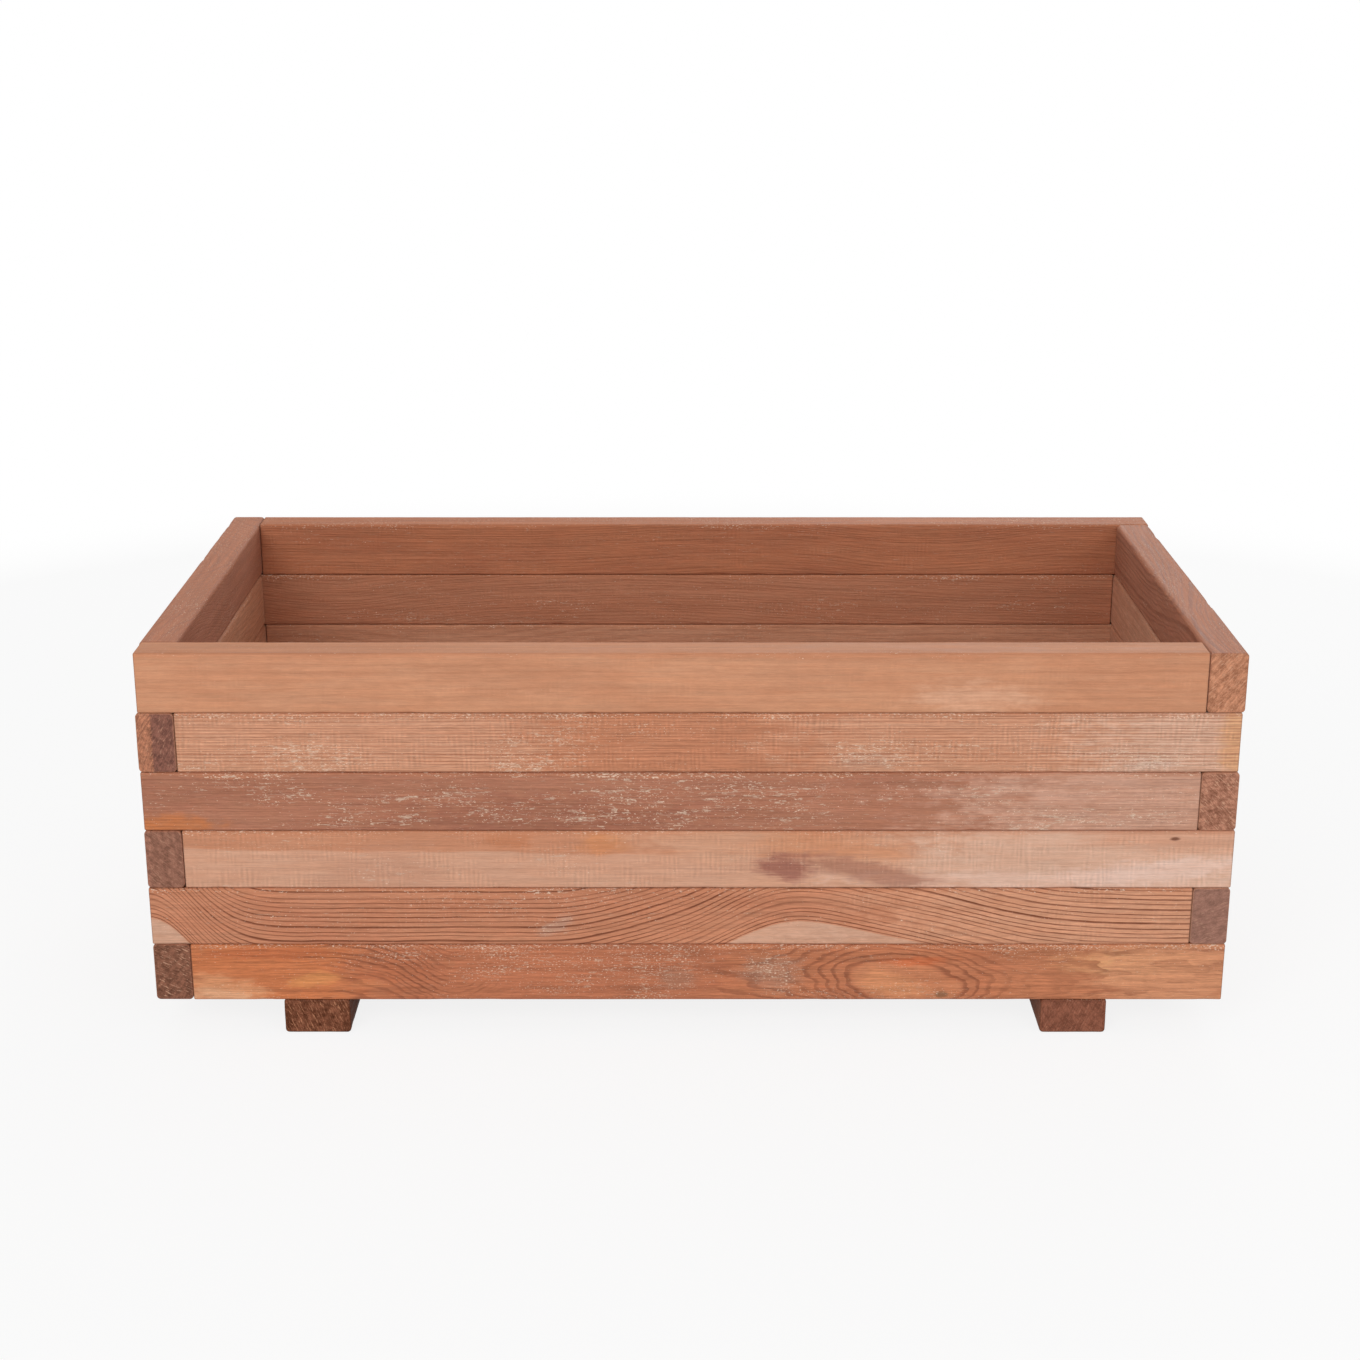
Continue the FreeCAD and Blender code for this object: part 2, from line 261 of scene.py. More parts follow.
def grow_rings(tree, get, point, field):
    """The dark late wood of the rings, and the heart inside them."""
    u, v, w = point
    across, height = find_pith(tree, get, u)
    radius = ((v - across) ** 2.0 + (w - height) ** 2.0) ** 0.5
    for name, size in (("wander", "waver"), ("ripple", "ripple"), ("jitter", "fray")):
        radius = radius + (field(name) - 0.5) * get[size]
    seed = get["seed"]
    spacing = get["spacing"]
    late_share = get["late_share"]
    fortune = {"W": radius / (spacing * YEAR_SPAN) + seed, "Scale": 1.0, "Detail": 1.0}
    years = tree.node("ShaderNodeTexNoise", fortune, noise_dimensions="1D")
    phase = radius / spacing + (tree.out(years, "Fac") - 0.5) * YEAR_SWING
    year = tree.math("FLOOR", phase)
    share = phase - year
    chance = tree.node("ShaderNodeTexWhiteNoise", {"W": year + seed}, noise_dimensions="1D")
    vigour = tree.out(chance, "Value") * 0.5 + 0.5
    rise = tree.step(share, 1.0 - late_share, 1.0 - LATE_FULL * late_share)
    late = rise * (1.0 - tree.step(share, LATE_STOP, 1.0)) * vigour
    late = late * (1.0 - field("pale") * get["fade"])
    heart = 1.0 - tree.step(radius, get["heart"] - HEART_INSIDE, get["heart"] + HEART_OUTSIDE)
    return late * (1.0 - heart), heart


def hatch_ends(tree, get, point):
    """The strokes of the saw over the end grain, hatched at an angle."""
    u, v, w = point
    cosine = tree.math("COSINE", get["end_turn"])
    sine = tree.math("SINE", get["end_turn"])
    along = v * cosine + w * sine
    over = w * cosine - v * sine
    length, width, depth = STROKE_SIZE
    place = tree.combine(along / length + get["seed"], over / width, u / depth)
    inputs = {"Vector": place, "Scale": 1.0, "Detail": STROKE_DETAIL, "Distortion": STROKE_BEND}
    return tree.out(tree.node("ShaderNodeTexNoise", inputs), "Fac")


def make_grain_group():
    """The solid wood: growth rings, fibres and the wear that follows them."""
    group = bpy.data.node_groups.new("wood_grain", "ShaderNodeTree")
    group.interface.new_socket("point", in_out="INPUT", socket_type="NodeSocketVector")
    for name in GRAIN:
        group.interface.new_socket(name, in_out="INPUT", socket_type="NodeSocketFloat")
    for name in GRAIN_OUTPUTS:
        group.interface.new_socket(name, in_out="OUTPUT", socket_type="NodeSocketFloat")
    tree = Tree(group)
    given = tree.node("NodeGroupInput")
    get = {name: tree.out(given, name) for name in GRAIN}
    point = tree.split(tree.out(given, "point"))

    def field(name, place=point):
        along, across, detail, roughness, shift, *levels = FIELDS[name]
        value = tree.noise(place, along, across, detail, roughness, get["seed"] + shift)
        return tree.step(value, *levels) if levels else value

    late, heart = grow_rings(tree, get, point, field)
    swing = tree.math("SINE", point[0] * (2 * math.pi / SAW_PITCH) + field("saw_sway") * SAW_STRAY)
    results = dict(
        late=late,
        heart=heart,
        fleck=field("fleck", [part / get["fleck_size"] for part in point]),
        saw=swing * field("saw_depth") * 0.5 + 0.5,
        stroke=hatch_ends(tree, get, point),
    )
    results.update({name: field(name) for name in FACE_FIELDS})
    tree.node("NodeGroupOutput", results)
    return group


GRAIN_GROUP = make_grain_group()

# What a timber's wood looks like, apart from its rings. Colours are as seen on a screen, in 0 to 255. A
# share says how strongly a mark shows, and a level how strong its noise has to be to show at all.
# Spots lie under the rings and covers over them: colour, share, place along, height, length, depth, tilt.
# Wear: place along, height, length, depth, added wear. Band: height, fall along, colour, share.
# End band: place across the end, softness, colour, share.
LOOK = dict(
    light=(200, 145, 114), ring=(160, 100, 74), ring_share=0.5, tint=(186, 126, 94), tint_share=0.5,
    mottle=(172, 122, 92), mottle_share=0.22, hue_share=0.5, line_share=0.07,
    fibre_share=0.1, streak_share=0.06, fine_share=0.26, saw_share=0.05, saw_level=0.55,
    fleck=(206, 172, 148), fleck_share=0.6, fleck_level=0.66, dash_share=0.35, dash_level=0.66,
    grit_share=0.75, grit_level=0.69, grit_edge=0.08,
    # top: painted light, an orange highlight along the upper arris
    heart=(206, 160, 133), heart_share=0.0, top=(198, 128, 92), top_share=0.3,
    # edge: a darker colour over the arrises, painted shade mixed with dirt
    edge=(150, 88, 62), edge_share=0.15, shine=0.14,
    end=(156, 106, 84), end_dark=(108, 68, 53), end_light=(204, 158, 130), stroke_share=0.45,
    spots=(), covers=(), wear=(), band=None, end_band=None,
)
SPECK = (240, 214, 190)
REDDER = (1.0, 0.91, 0.85, 1.0)

# Where spots, bands and wear end behind the front face, and the top border, which carries a painted
# highlight, starts below the upper face
SKIN_DEPTHS = (3.0, 9.0)
TOP_DEPTHS = (4.5, 2.0)
# Where a spot's border starts and ends, as shares of its size, and how much the spot waves
SPOT_BORDER = (0.5, 1.3)
SPOT_WAVE = 1.2
# Half the width of a band's border, in millimetres, and of the border of sawn patches
BAND_SOFTNESS = 0.7
SAWN_SOFTNESS = 0.08
# Marks of wear: how strongly they follow the clusters, and how soft their borders are
WEAR_MARKS = dict(fleck=(1.0, 0.05), dash=(0.5, 0.08), grit=(0.7, 0.06))
# Levels over which flecks break up, end grain turns light and strokes show
BREAK_LEVELS = (0.4, 0.54)
PORE_LEVELS = (0.38, 0.62)
STROKE_LEVELS = (0.6, 0.68)
END_RING_SHARE = 0.45
END_BAND_DARK = 0.6
BUMP = {"Strength": 0.5, "Distance": 0.0006}
ROUGHNESS = 0.64


class Wood:
    """The wood of one timber. Its fields are the values that its colours and relief are mixed from."""

    def __init__(self, name, height, grain, look):
        self.look = {**LOOK, **look}
        self.material, self.tree = new_material(name)
        tree = self.tree
        point = tree.scale(tree.place(), 1 / MM)
        self.u, self.v, self.w = tree.split(point)
        rings = tree.node("ShaderNodeGroup", {**GRAIN, **grain, "point": point}, node_tree=GRAIN_GROUP)
        self.fields = {key: tree.out(rings, key) for key in GRAIN_OUTPUTS}
        for key in ("end_grain", "edge"):
            self.fields[key] = tree.out(tree.node("ShaderNodeAttribute", attribute_name=key), "Fac")
        self.skin = 1.0 - tree.step(self.v, *SKIN_DEPTHS)
        top_levels = [height - depth for depth in TOP_DEPTHS]
        # top: the upper border of the face, which carries a painted highlight and extra grit of wear
        self.fields["top"] = tree.step(self.w + self.sway(patch=8.0), *top_levels)
        self.fields["sawn"] = tree.around(self.fields["patch"], self.look["saw_level"], SAWN_SOFTNESS)

    def weigh(self, **weights):
        """A weighted sum of fields."""
        return sum(self.fields[name] * weight for name, weight in weights.items())

    def sway(self, **weights):
        """A weighted sum of fields round their middle."""
        return sum((self.fields[name] - 0.5) * weight for name, weight in weights.items())

    def paint(self, colour, share, over):
        """A colour with a share of another, as seen on a screen, over it."""
        return self.tree.mix(share, colour, linear(*over))

    def layer(self, colour, field, name):
        """A colour with one of the look's colours over it where a field shows it."""
        return self.paint(colour, self.fields[field] * self.look[f"{name}_share"], self.look[name])

    def spot(self, place, middle, length, depth, tilt=0.0):
        """A blotch on the face round a place and a height, with an uneven border."""
        blotch = self.fields["patch"] - 0.5
        over = (self.w - middle - (self.u - place) * tilt) / depth + blotch * SPOT_WAVE
        along = (self.u - place) / length + blotch
        away = (along * along + over * over) ** 0.5 + self.sway(fibre=0.2, mottle=0.35)
        return (1.0 - self.tree.step(away, *SPOT_BORDER)) * self.skin

    def paint_spots(self, colour, spots):
        for spot_colour, share, *place in spots:
            colour = self.paint(colour, self.spot(*place) * share, spot_colour)
        return colour

    def face_colour(self):
        """Planed wood: tints, spots and rings, with fibres and saw marks in light and shade."""
        tree, fields, look = self.tree, self.fields, self.look
        colour = self.layer(linear(*look["light"]), "cloud", "tint")
        if look["band"]:
            level, slope, band_colour, share = look["band"]
            border = self.w + self.u * slope + self.sway(patch=5.0, streak=1.5)
            upper = tree.around(border, level, BAND_SOFTNESS)
            colour = self.paint(colour, upper * self.skin * share, band_colour)
        colour = self.paint_spots(colour, look["spots"])
        if look["heart_share"]:
            colour = self.layer(colour, "heart", "heart")
        colour = self.layer(colour, "mottle", "mottle")
        colour = tree.mix(fields["hue"] * look["hue_share"], colour, REDDER, "MULTIPLY")
        # The top colour is painted light: an orange highlight where the upper arris catches the light
        colour = self.layer(colour, "top", "top")
        colour = self.layer(colour, "late", "ring")
        colour = self.paint_spots(colour, look["covers"])
        shade = 1.0 + self.sway(**{name: 2 * look[f"{name}_share"] for name in ("fibre", "streak", "fine")})
        shade = shade + (fields["saw"] - 0.5) * fields["sawn"] * (2 * look["saw_share"])
        return tree.scale(colour, shade - fields["line"] * look["line_share"])

    def find_wear(self):
        """Adds the pale flecks, dashes and grit, which lie in clusters, to the fields."""
        tree, fields, look = self.tree, self.fields, self.look
        cluster = self.sway(patch=0.3, cloud=0.06)
        for *place, amount in look["wear"]:
            cluster = cluster + self.spot(*place) * amount
        for name, (pull, softness) in WEAR_MARKS.items():
            amount = fields[name] + cluster * pull
            if name == "grit":
                amount = amount + fields["top"] * look["grit_edge"]
            level = look[f"{name}_level"]
            fields[f"{name}_marks"] = tree.step(amount, level, level + softness)
        broken = tree.step(self.weigh(fine=0.6, grit=0.4), *BREAK_LEVELS)
        fields["fleck_marks"] = fields["fleck_marks"] * broken
        fields["worn"] = self.weigh(fleck_marks=0.3, dash_marks=0.15, grit_marks=0.2)

    def worn_colour(self):
        """The face with its wear, and its arrises darkened by painted shade and dirt."""
        look = self.look
        colour = self.face_colour()
        for name, mark_colour in (("fleck", look["fleck"]), ("dash", look["fleck"]), ("grit", SPECK)):
            colour = self.paint(colour, self.fields[f"{name}_marks"] * look[f"{name}_share"], mark_colour)
        # The edge colour is painted shade along the arrises, where the timbers meet, mixed with dirt
        return self.layer(colour, "edge", "edge")

    def end_colour(self):
        """Sawn end grain: pores, rings and pale strokes."""
        tree, fields, look = self.tree, self.fields, self.look
        fields["pores"] = tree.step(self.weigh(pore=0.5, stroke=0.5), *PORE_LEVELS)
        rough = self.weigh(pores=0.45, mottle=0.55)
        colour = self.paint(linear(*look["end_dark"]), rough, look["end"])
        if look["end_band"]:
            place, softness, band_colour, share = look["end_band"]
            beyond = tree.around(self.v + self.sway(pore=5.0), place, softness)
            dark = linear(*[END_BAND_DARK * part for part in band_colour])
            colour = tree.mix(beyond * share, colour, self.paint(dark, rough, band_colour))
        colour = self.paint(colour, fields["late"] * END_RING_SHARE, look["end_dark"])
        return self.paint(colour, fields["strokes"] * look["stroke_share"], look["end_light"])

    def build(self):
        tree, fields = self.tree, self.fields
        self.find_wear()
        fields["strokes"] = tree.step(fields["stroke"] + self.sway(pore=0.15, patch=0.2), *STROKE_LEVELS)
        fields["saw_marks"] = fields["saw"] * fields["sawn"]
        colour = tree.mix(fields["end_grain"], self.worn_colour(), self.end_colour())
        relief = self.weigh(fibre=0.35, fine=0.35, late=-0.35, saw_marks=0.25, worn=1.0)
        relief = relief + fields["end_grain"] * self.weigh(pore=1.6, strokes=0.8)
        bump = tree.node("ShaderNodeBump", {**BUMP, "Height": relief})
        roughness = ROUGHNESS + self.sway(fibre=0.16) + self.weigh(end_grain=0.2, worn=0.3, late=-0.08)
        inputs = {"Base Color": colour, "Roughness": roughness, "Normal": tree.out(bump)}
        shader = tree.node("ShaderNodeBsdfPrincipled", inputs)
        shader.inputs["Specular IOR Level"].default_value = self.look["shine"]
        tree.surface(shader)
        return self.material


STEEL_BRIGHT = (206, 200, 188)
STEEL_DULL = (150, 140, 124)
# Noise of the dull places: size along and across, detail, roughness, and the levels over which they start
DULL_NOISE = (2.4, 2.4, 3.0, 0.6)
DULL_LEVELS = (0.35, 0.7)
STEEL_ROUGHNESS = 0.36


def steel():
    """Bright steel, dulled in places."""
    material, tree = new_material("screw_steel")
    point = [part / MM for part in tree.split(tree.place())]
    dull = tree.step(tree.noise(point, *DULL_NOISE), *DULL_LEVELS)
    colour = tree.mix(dull, linear(*STEEL_BRIGHT), linear(*STEEL_DULL))
    shader = tree.node("ShaderNodeBsdfPrincipled", {"Base Color": colour, "Roughness": STEEL_ROUGHNESS})
    shader.inputs["Metallic"].default_value = 1.0
    tree.surface(shader)
    return material


# How finely a timber is divided, in millimetres where it isn't a count
ARC_STEPS = 4
FLAT_STEP = 6.0
STATION_STEP = 5.0
SUPPORT = 0.5
MOST_SUPPORT_SHARE = 0.2
EASE_ANGLES = (0.0, 0.35, 0.7, 1.05, math.pi / 2)
# The rings of an end cap: insets from its rim, the middle left free, and the last ring's half width
CAP_INSETS = (0.9, 2.4, 4.8, 7.6, 10.4)
CAP_MIDDLE = 1.0
CAP_LAST = 0.4
LEAST_RADIUS = 0.25
ARC_START_EDGE = 0.3
# Chips along the arrises: one for so many millimetres, of these lengths and depths
CHIP_SPACING = 70
CHIP_LENGTHS = (2.0, 7.0)
CHIP_DEPTHS = (0.15, 0.7)
CHIP_REACH = 2.5
CHIP_OVERLAP = 0.12
# Layers of unevenness: scale along the timber, scale across it, depth in millimetres
FACE_LAYERS = ((0.012, 0.05, 0.16), (0.09, 0.35, 0.10))
CAP_LAYERS = ((9.0, 0.5, 0.30), (5.0, 0.09, 0.35))
LEAST_DEPTH = 0.03
SEED_STRIDES = (3.7, 1.3, 2.1)
DIRECTIONS = ((1, 0), (0, 1), (-1, 0), (0, -1))
# The layout for baking: rows of the sides, and right of them the first cap's left, bottom, width and height
BAKE_ROWS = 2
BAKE_MARGIN = 0.004
CAP_COLUMN = 0.9
CAP_PATCH = (0.91, 0.02, 0.08, 0.46)


def flat_places(length):
    """Shares along a flat side, with a support line near each end."""
    near = min(SUPPORT / length, MOST_SUPPORT_SHARE)
    count = max(2, round(length / FLAT_STEP))
    return [0.0, near] + [k / count for k in range(1, count)] + [1.0 - near]


class Bar:
    """A worn timber, in millimetres: an eased bar whose surface only ever lies at or inside its size."""

    def __init__(self, size, wear, seed, trims):
        self.length, self.width, self.height = size
        self.arris, self.ease, self.rough = wear
        self.seed_point = Vector([stride * seed for stride in SEED_STRIDES])
        self.plan = self.make_plan()
        self.count = len(self.plan)
        self.pairs = [(j, (j + 1) % self.count) for j in range(self.count)]
        self.stations = self.find_stations(*trims)
        self.chips = self.find_chips(random.Random(seed))
        self.points = []
        self.faces = []

    def make_plan(self):
        """The outline of a section: (side, share of the side, share of the arc), alike for every inset."""
        plan = []
        for side, length in enumerate((self.width, self.height) * 2):
            plan += [(side, share, None) for share in flat_places(length - 2 * self.arris)]
            plan += [(side, None, step / ARC_STEPS) for step in range(ARC_STEPS)]
        return plan

    def outline(self, inset):
        """A section at an inset: (y, z, outward y, outward z, how much of an edge it is) for each step."""
        radius = max(self.arris - inset, LEAST_RADIUS)
        low = inset + radius
        wide = self.width - inset - radius
        high = self.height - inset - radius
        corners = ((wide, low), (wide, high), (low, high), (low, low))
        points = []
        for side, share, arc in self.plan:
            along = DIRECTIONS[side]
            out = DIRECTIONS[side - 1]
            if arc is None:
                start, end = corners[side - 1], corners[side]
                y = start[0] + (end[0] - start[0]) * share
                z = start[1] + (end[1] - start[1]) * share
                ny, nz, edge = (*out, 0.0)
            else:
                angle = arc * math.pi / 2
                y, z = corners[side]
                ny = out[0] * math.cos(angle) + along[0] * math.sin(angle)
                nz = out[1] * math.cos(angle) + along[1] * math.sin(angle)
                edge = math.sin(angle * 2) ** 0.5 if arc else ARC_START_EDGE
            points.append((y + ny * radius, z + nz * radius, ny, nz, edge))
        return points

    def find_stations(self, first, last):
        """The sections along the bar with its eased ends: (place, inset, how much of an end it is)."""
        head = []
        for angle in EASE_ANGLES:
            place = first + self.ease * (1 - math.cos(angle))
            head.append((place, self.ease * (1 - math.sin(angle)), 1.0 - angle / (math.pi / 2)))
        tail = [(self.length - last - (place - first), inset, ends) for place, inset, ends in reversed(head)]
        start, stop = head[-1][0] + SUPPORT, tail[0][0] - SUPPORT
        count = max(2, round((stop - start) / STATION_STEP))
        return head + [(start + (stop - start) * k / count, 0.0, 0.0) for k in range(count + 1)] + tail

    def find_chips(self, rng):
        """Small losses along the four arrises: (corner, place, length, depth)."""
        found = []
        for corner in range(4):
            for _ in range(int(self.length / CHIP_SPACING)):
                place = rng.uniform(0, self.length)
                length = rng.uniform(*CHIP_LENGTHS)
                found.append((corner, place, length, rng.uniform(*CHIP_DEPTHS) * self.rough))
        return found

    def add_point(self, x, y, z, end_grain, edge):
        self.points.append(((x * MM, y * MM, z * MM), end_grain, edge))

    def unevenness(self, x, y, z, layers):
        """How deep the surface lies at a place, in millimetres."""
        depth = 0.0
        for along, across, most in layers:
            place = Vector((x * along, y * across, z * across)) + self.seed_point
            depth += most * (noise.noise(place) * 0.5 + 0.5)
        return depth * self.rough

    def chip_depth(self, corner, arc, x):
        """How much the chips take away at a place on an arris."""
        across = math.sin(math.pi * (arc + CHIP_OVERLAP) / (1 + 2 * CHIP_OVERLAP))
        depth = 0.0
        for chip_corner, place, length, loss in self.chips:
            if chip_corner == corner and abs(x - place) < CHIP_REACH * length:
                depth += loss * math.exp(-((x - place) / length) ** 2) * across
        return depth

    def add_sides(self):
        """The four faces and the arrises between them."""
        for x, inset, ends in self.stations:
            for (side, _, arc), (y, z, ny, nz, edge) in zip(self.plan, self.outline(inset)):
                depth = LEAST_DEPTH + self.unevenness(x, y, z, FACE_LAYERS)
                if arc is not None:
                    depth += self.chip_depth(side, arc, x)
                self.add_point(x, y - ny * depth, z - nz * depth, ends, edge)
        for k in range(len(self.stations) - 1):
            here = k * self.count
            after = here + self.count
            for j, following in self.pairs:
                quad = (here + j, here + following, after + following, after + j)
                self.faces.append((quad, ("side", k, j)))

    def add_cap(self, cap):
        """A sawn end in rings, from rim to middle: cap 0 at the first end, and cap 1 at the last."""
        outer_x = self.stations[-cap][0]
        sign = 1.0 - 2.0 * cap
        ring = cap * (len(self.stations) - 1) * self.count
        most = min(self.width, self.height) / 2
        insets = [self.ease + inset for inset in CAP_INSETS if self.ease + inset < most - CAP_MIDDLE]
        for inset in insets + [most - CAP_LAST]:
            base = len(self.points)
            for y, z, *_ in self.outline(inset):
                self.add_point(outer_x + sign * self.unevenness(cap, y, z, CAP_LAYERS), y, z, 1.0, 0.0)
            for j, following in self.pairs:
                quad = (ring + j, base + j, base + following, ring + following)
                self.faces.append((quad[::-1] if cap else quad, ("cap", cap, j)))
            ring = base
        middle = tuple(range(ring, ring + self.count))
        self.faces.append((middle if cap else middle[::-1], ("cap", cap, 0)))

    def make_mesh(self, name):
        self.add_sides()
        self.add_cap(0)
        self.add_cap(1)
        vertices, end_grain, edge = zip(*self.points)
        faces, regions = zip(*self.faces)
        mesh = bpy.data.meshes.new(name)
        mesh.from_pydata(vertices, [], faces)
        mesh.update()
        mesh.polygons.foreach_set("use_smooth", [True] * len(mesh.polygons))
        for attribute, values in (("end_grain", end_grain), ("edge", edge)):
            mesh.attributes.new(attribute, "FLOAT", "POINT").data.foreach_set("value", values)
        self.lay_out(mesh, regions)
        return mesh

    def lay_out(self, mesh, regions):
        """An even layout for baking, from each face's kind and two counts that place it there."""
        outline = self.outline(0.0)
        around = [0.0]
        for (y0, z0, *_), (y1, z1, *_) in zip(outline, outline[1:] + outline[:1]):
            around.append(around[-1] + math.hypot(y1 - y0, z1 - z0))
        places = [place for place, _, _ in self.stations]
        half = len(places) // BAKE_ROWS
        row_height = 1.0 / BAKE_ROWS
        left, bottom, width, height = CAP_PATCH
        layer = mesh.uv_layers.new(name="OFBake")
        for polygon, (kind, first, second) in zip(mesh.polygons, regions):
            if kind == "cap":
                for loop in polygon.loop_indices:
                    place = mesh.vertices[mesh.loops[loop].vertex_index].co / MM
                    u = left + width * place.y / self.width
                    v = 0.5 * first + bottom + height * place.z / self.height
                    layer.data[loop].uv = (u, v)
                continue
            row = min(first // half, BAKE_ROWS - 1)
            low = places[row * half]
            high = places[-1] if row == BAKE_ROWS - 1 else places[(row + 1) * half]
            corners = ((first, second), (first, second + 1), (first + 1, second + 1), (first + 1, second))
            for loop, (k, j) in zip(polygon.loop_indices, corners):
                u = BAKE_MARGIN + (CAP_COLUMN - 2 * BAKE_MARGIN) * (places[k] - low) / (high - low)
                v = row * row_height + BAKE_MARGIN + (row_height - 2 * BAKE_MARGIN) * around[j] / around[-1]
                layer.data[loop].uv = (u, v)


# Holes for the screws, in millimetres
HOLE_SIDES = 24
HEAD_SINK = 0.5
SINK_RADIUS = 4.85
SINK_OVERCUT = 1.0
HOLE_RADIUS = 2.5
HOLE_SPARE = 1.0
HOLE_RINGS = 3
WELD = 0.01
# The holes' patch in the layout for baking: left, bottom, width and height
HOLE_PATCH = (0.91, 0.486, 0.08, 0.028)
SHARP_ANGLE = 38


def find_screws():
    """The screws of the CAD model, in order: x, y and the heights of head and tip."""
    screws = []
    for name, node in SCREW_NODES.items():
        shape = bmesh.new()
        shape.from_mesh(node.data)
        shape.transform(node.matrix_world)
        bmesh.ops.remove_doubles(shape, verts=shape.verts, dist=WELD * MM)
        left = set(shape.verts)
        while left:
            reached = [left.pop()]
            for vertex in reached:
                found = {edge.other_vert(vertex) for edge in vertex.link_edges} & left
                left -= found
                reached += found
            low = [min(vertex.co[axis] for vertex in reached) for axis in range(3)]
            high = [max(vertex.co[axis] for vertex in reached) for axis in range(3)]
            ends = (high[2], low[2]) if name == "floor_screws" else (low[2], high[2])
            screws.append(((low[0] + high[0]) / 2, (low[1] + high[1]) / 2, *ends))
        shape.free()
    return sorted(screws)


def add_hole(screw, points, faces):
    """Adds the shell of a screw's countersunk hole to points and faces."""
    middle_x, middle_y, head, tip = screw
    inward = MM if tip > head else -MM
    sink = head - inward * HEAD_SINK
    profile = (
        (sink - inward * SINK_OVERCUT, SINK_RADIUS + SINK_OVERCUT),
        (sink + inward * (SINK_RADIUS - HOLE_RADIUS), HOLE_RADIUS),
        (tip + inward * HOLE_SPARE, HOLE_RADIUS),
    )
    bands = []
    for height, radius in profile:
        bands.append(tuple(range(len(points), len(points) + HOLE_SIDES)))
        for k in range(HOLE_SIDES):
            angle = 2 * math.pi * (k + 0.5) / HOLE_SIDES
            x = middle_x + radius * MM * math.cos(angle)
            points.append((x, middle_y + radius * MM * math.sin(angle), height))
    shell = [bands[0][::-1], bands[-1]]
    for lower, upper in zip(bands, bands[1:]):
        for k in range(HOLE_SIDES):
            following = (k + 1) % HOLE_SIDES
            shell.append((lower[k], lower[following], upper[following], upper[k]))
    faces += shell if tip > head else [face[::-1] for face in shell]


def make_holes_mesh(points, faces):
    """A mesh of holes, whose walls look like end grain."""
    mesh = bpy.data.meshes.new("screw_holes")
    mesh.from_pydata(points, [], faces)
    mesh.attributes.new("end_grain", "FLOAT", "POINT").data.foreach_set("value", [1.0] * len(points))
    mesh.attributes.new("edge", "FLOAT", "POINT")
    layer = mesh.uv_layers.new(name="OFBake")
    left, bottom, width, height = HOLE_PATCH
    for loop in mesh.loops:
        turn = loop.vertex_index % HOLE_SIDES / HOLE_SIDES
        ring = loop.vertex_index // HOLE_SIDES % HOLE_RINGS / (HOLE_RINGS - 1)
        layer.data[loop.index].uv = (left + width * turn, bottom + height * ring)
    return mesh


def cut_holes(timber, low, high, screws):
    """Cuts the countersunk holes of the screws whose heads lie in a timber's box."""
    points, faces = [], []
    for screw in screws:
        if all(low[axis] < screw[axis] < high[axis] for axis in range(3)):
            add_hole(screw, points, faces)
    if not faces:
        return
    into_timber = timber.matrix_world.inverted()
    points = [into_timber @ Vector(point) for point in points]
    cutter = add_object("screw_holes", make_holes_mesh(points, faces))
    cutter.matrix_world = timber.matrix_world
    boolean = timber.modifiers.new("screw_holes", "BOOLEAN")
    boolean.operation = "DIFFERENCE"
    boolean.solver = "EXACT"
    boolean.object = cutter
    bpy.context.view_layer.update()
    solid = timber.evaluated_get(bpy.context.evaluated_depsgraph_get())
    worked = bpy.data.meshes.new_from_object(solid)
    timber.modifiers.clear()
    timber.data = worked
    bpy.data.objects.remove(cutter)
    worked.set_sharp_from_angle(angle=math.radians(SHARP_ANGLE))


COURSES = 6
SCREWS = find_screws()
# Screw heads show only under the bottom course and the feet, and on the floor boards
HIDDEN_HEADS = tuple(f"course_{course}_" for course in range(1, COURSES))
ALONG_X = Matrix.Identity(3)
ALONG_Y = Matrix(((0, -1, 0), (1, 0, 0), (0, 0, 1)))
GRAIN_STRIDE = 1.37


def add_timber(node, wear, seed, grain, look, trims=(0.0, 0.0)):
    """Puts a worn timber in place of a CAD node."""
    low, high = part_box(node)
    size = (high - low) / MM
    if size.x > size.y:
        length, width, turn, corner = size.x, size.y, ALONG_X, low
    else:
        length, width, turn, corner = size.y, size.x, ALONG_Y, Vector((high.x, low.y, low.z))
    bar = Bar((length, width, size.z), wear, seed, trims)
    timber = add_object(f"{node}_timber", bar.make_mesh(node))
    timber.matrix_world = Matrix.Translation(corner) @ turn.to_4x4()
    if not node.startswith(HIDDEN_HEADS):
        cut_holes(timber, low, high, SCREWS)
    wood = Wood(f"{node}_wood", size.z, {**grain, "seed": seed * GRAIN_STRIDE}, look)
    timber.data.materials.append(wood.build())
    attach(timber, "root")
    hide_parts(node)


